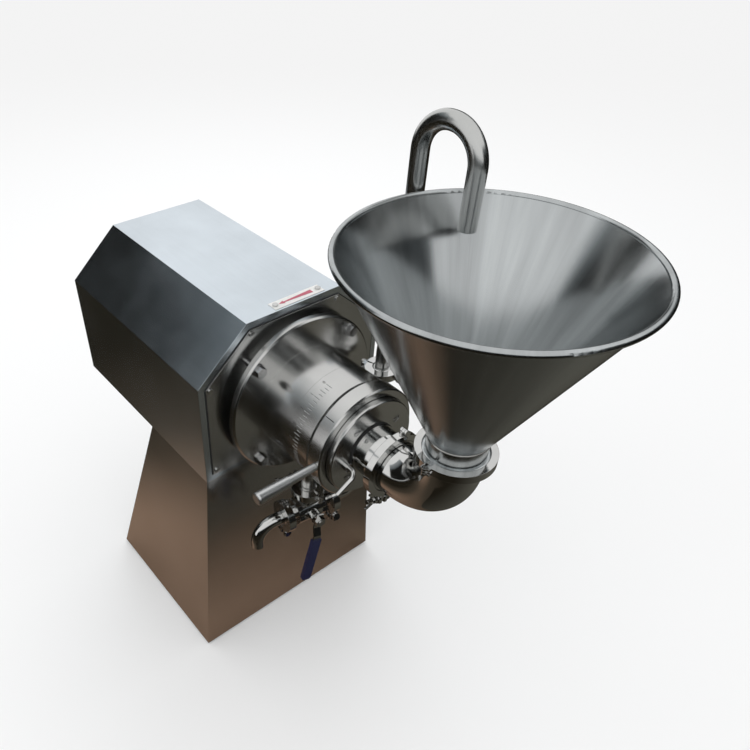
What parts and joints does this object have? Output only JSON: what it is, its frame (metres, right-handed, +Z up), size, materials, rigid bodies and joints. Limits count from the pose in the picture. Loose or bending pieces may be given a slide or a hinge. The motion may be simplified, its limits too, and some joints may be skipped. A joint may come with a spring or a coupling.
{
  "type": "colloid mill",
  "caption": "Horizontal stainless colloid mill: cabinet on a flared pedestal, flanged milling head, feed hopper on an elbow, outlet valve and a return pipe over the rim.",
  "frame": {"origin": "on the floor under the centre of the pedestal's footprint", "axes": "+X along the mill axis out of the cabinet's front toward the hopper, +Y to the side of the return riser, +Z up"},
  "size_m": [1.0364, 0.476, 1.1347],
  "materials": {
    "sheet_steel": "polished sheet",
    "satin_steel": "turned satin",
    "polished_steel": "mirror polished",
    "hopper_steel": "brushed",
    "bolt_steel": "plain",
    "frame_steel": "satin paint",
    "motor_paint": "gloss paint",
    "motor_iron": "bare",
    "seal_dark": "lapped",
    "rubber_black": "matt",
    "black_plastic": "matt",
    "navy_sleeve": "dipped vinyl",
    "white_plate": "satin",
    "red_mark": "satin"
  },
  "bodies": {
    "frame": {"hood_shell": "sheet_steel", "pedestal_shell": "sheet_steel", "rear_panel": "sheet_steel", "front_plate": "sheet_steel", "panel_screws": "polished_steel", "base_frame": "frame_steel", "foot_pads": "rubber_black", "motor_bracket": "frame_steel", "arrow_plate": "white_plate", "arrow_mark": "red_mark", "cable_gland": "black_plastic", "motor_housing": "motor_paint", "stator_core": "motor_iron", "motor_front_shield": "motor_paint", "motor_rear_shield": "motor_paint", "fan_cowl": "motor_paint", "terminal_box": "motor_paint", "motor_bolts": "bolt_steel", "bearing_outer_rings": "bolt_steel", "bearing_balls": "bolt_steel", "mill_seat": "satin_steel", "seat_bolts": "bolt_steel", "scale_ring": "satin_steel", "seal_seat": "seal_dark", "tube_clamp_halves": "polished_steel", "tube_clamp_bolts": "polished_steel", "tube_gaskets": "rubber_black", "valve_body": "polished_steel", "discharge_elbow": "polished_steel", "return_pipe": "polished_steel", "gooseneck": "polished_steel"},
    "spindle": {"main_shaft": "satin_steel", "motor_rotor": "motor_iron", "cooling_fan": "black_plastic", "bearing_inner_rings": "bolt_steel", "seal_ring": "seal_dark", "milling_rotor": "satin_steel", "rotor_nut": "satin_steel"},
    "feed_carriage": {"front_cover": "satin_steel", "cover_screws": "bolt_steel", "milling_stator": "satin_steel", "feed_gaskets": "rubber_black", "feed_spool": "polished_steel", "feed_elbow": "polished_steel", "hopper": "hopper_steel", "feed_clamp_halves": "polished_steel", "feed_clamp_bolts": "polished_steel"},
    "ring": {"adjusting_ring": "satin_steel", "adjusting_handle": "polished_steel"},
    "lock": {"lock_handle": "polished_steel"},
    "valve_core": {"valve_stem": "polished_steel", "valve_ball": "polished_steel", "valve_lever": "polished_steel", "lever_sleeve": "navy_sleeve"},
    "feed_wing_nut_body": {"feed_wing_nut": "polished_steel"},
    "hopper_wing_nut_body": {"hopper_wing_nut": "polished_steel"},
    "outlet_wing_nut_body": {"outlet_wing_nut": "polished_steel"},
    "discharge_wing_nut_body": {"discharge_wing_nut": "polished_steel"},
    "return_wing_nut_body": {"return_wing_nut": "polished_steel"},
    "riser_wing_nut_body": {"riser_wing_nut": "polished_steel"}
  },
  "joints": [
    {"name": "spindle_turn", "type": "hinge", "parent": "frame", "child": "spindle", "pos_m": [0, 0, 0.613], "axis": [1, 0, 0], "continuous": true},
    {"name": "gap_slide", "type": "slide", "parent": "frame", "child": "feed_carriage", "axis": [1, 0, 0], "range_m": [-0.0003, 0.0007]},
    {"name": "ring_turn", "type": "hinge", "parent": "feed_carriage", "child": "ring", "pos_m": [0.36, 0, 0.613], "axis": [1, 0, 0], "range_deg": [-25, 60]},
    {"name": "lock_turn", "type": "hinge", "parent": "feed_carriage", "child": "lock", "pos_m": [0.3948, -0.05768, 0.60694], "axis": [1, 0, 0], "range_deg": [-40, 40]},
    {"name": "valve_turn", "type": "hinge", "parent": "frame", "child": "valve_core", "pos_m": [0.285, -0.042, 0.404], "axis": [0.9903, -0.1392, 0], "range_deg": [0, 90]},
    {"name": "feed_nut_turn", "type": "hinge", "parent": "feed_carriage", "child": "feed_wing_nut_body", "pos_m": [0.4454, -0.01746, 0.54785], "axis": [0, -0.9659, 0.2588], "continuous": true},
    {"name": "hopper_nut_turn", "type": "hinge", "parent": "feed_carriage", "child": "hopper_wing_nut_body", "pos_m": [0.5554, 0.06745, 0.723], "axis": [-1, 0, 0], "continuous": true},
    {"name": "outlet_nut_turn", "type": "hinge", "parent": "frame", "child": "outlet_wing_nut_body", "pos_m": [0.24525, -0.042, 0.453], "axis": [0, -1, 0], "continuous": true},
    {"name": "discharge_nut_turn", "type": "hinge", "parent": "frame", "child": "discharge_wing_nut_body", "pos_m": [0.27818, -0.09052, 0.36425], "axis": [-0.9903, 0.1392, 0], "continuous": true},
    {"name": "return_nut_turn", "type": "hinge", "parent": "frame", "child": "return_wing_nut_body", "pos_m": [0.3115, 0.00376, 0.36957], "axis": [-0.8576, 0.1205, -0.5], "continuous": true},
    {"name": "riser_nut_turn", "type": "hinge", "parent": "frame", "child": "riser_wing_nut_body", "pos_m": [0.31435, 0.1456, 0.644], "axis": [-0.342, 0.9397, 0], "continuous": true}
  ],
  "couplings": [
    {"joint": "gap_slide", "follows": "ring_turn", "m_per_rad": 0.00063662}
  ]
}
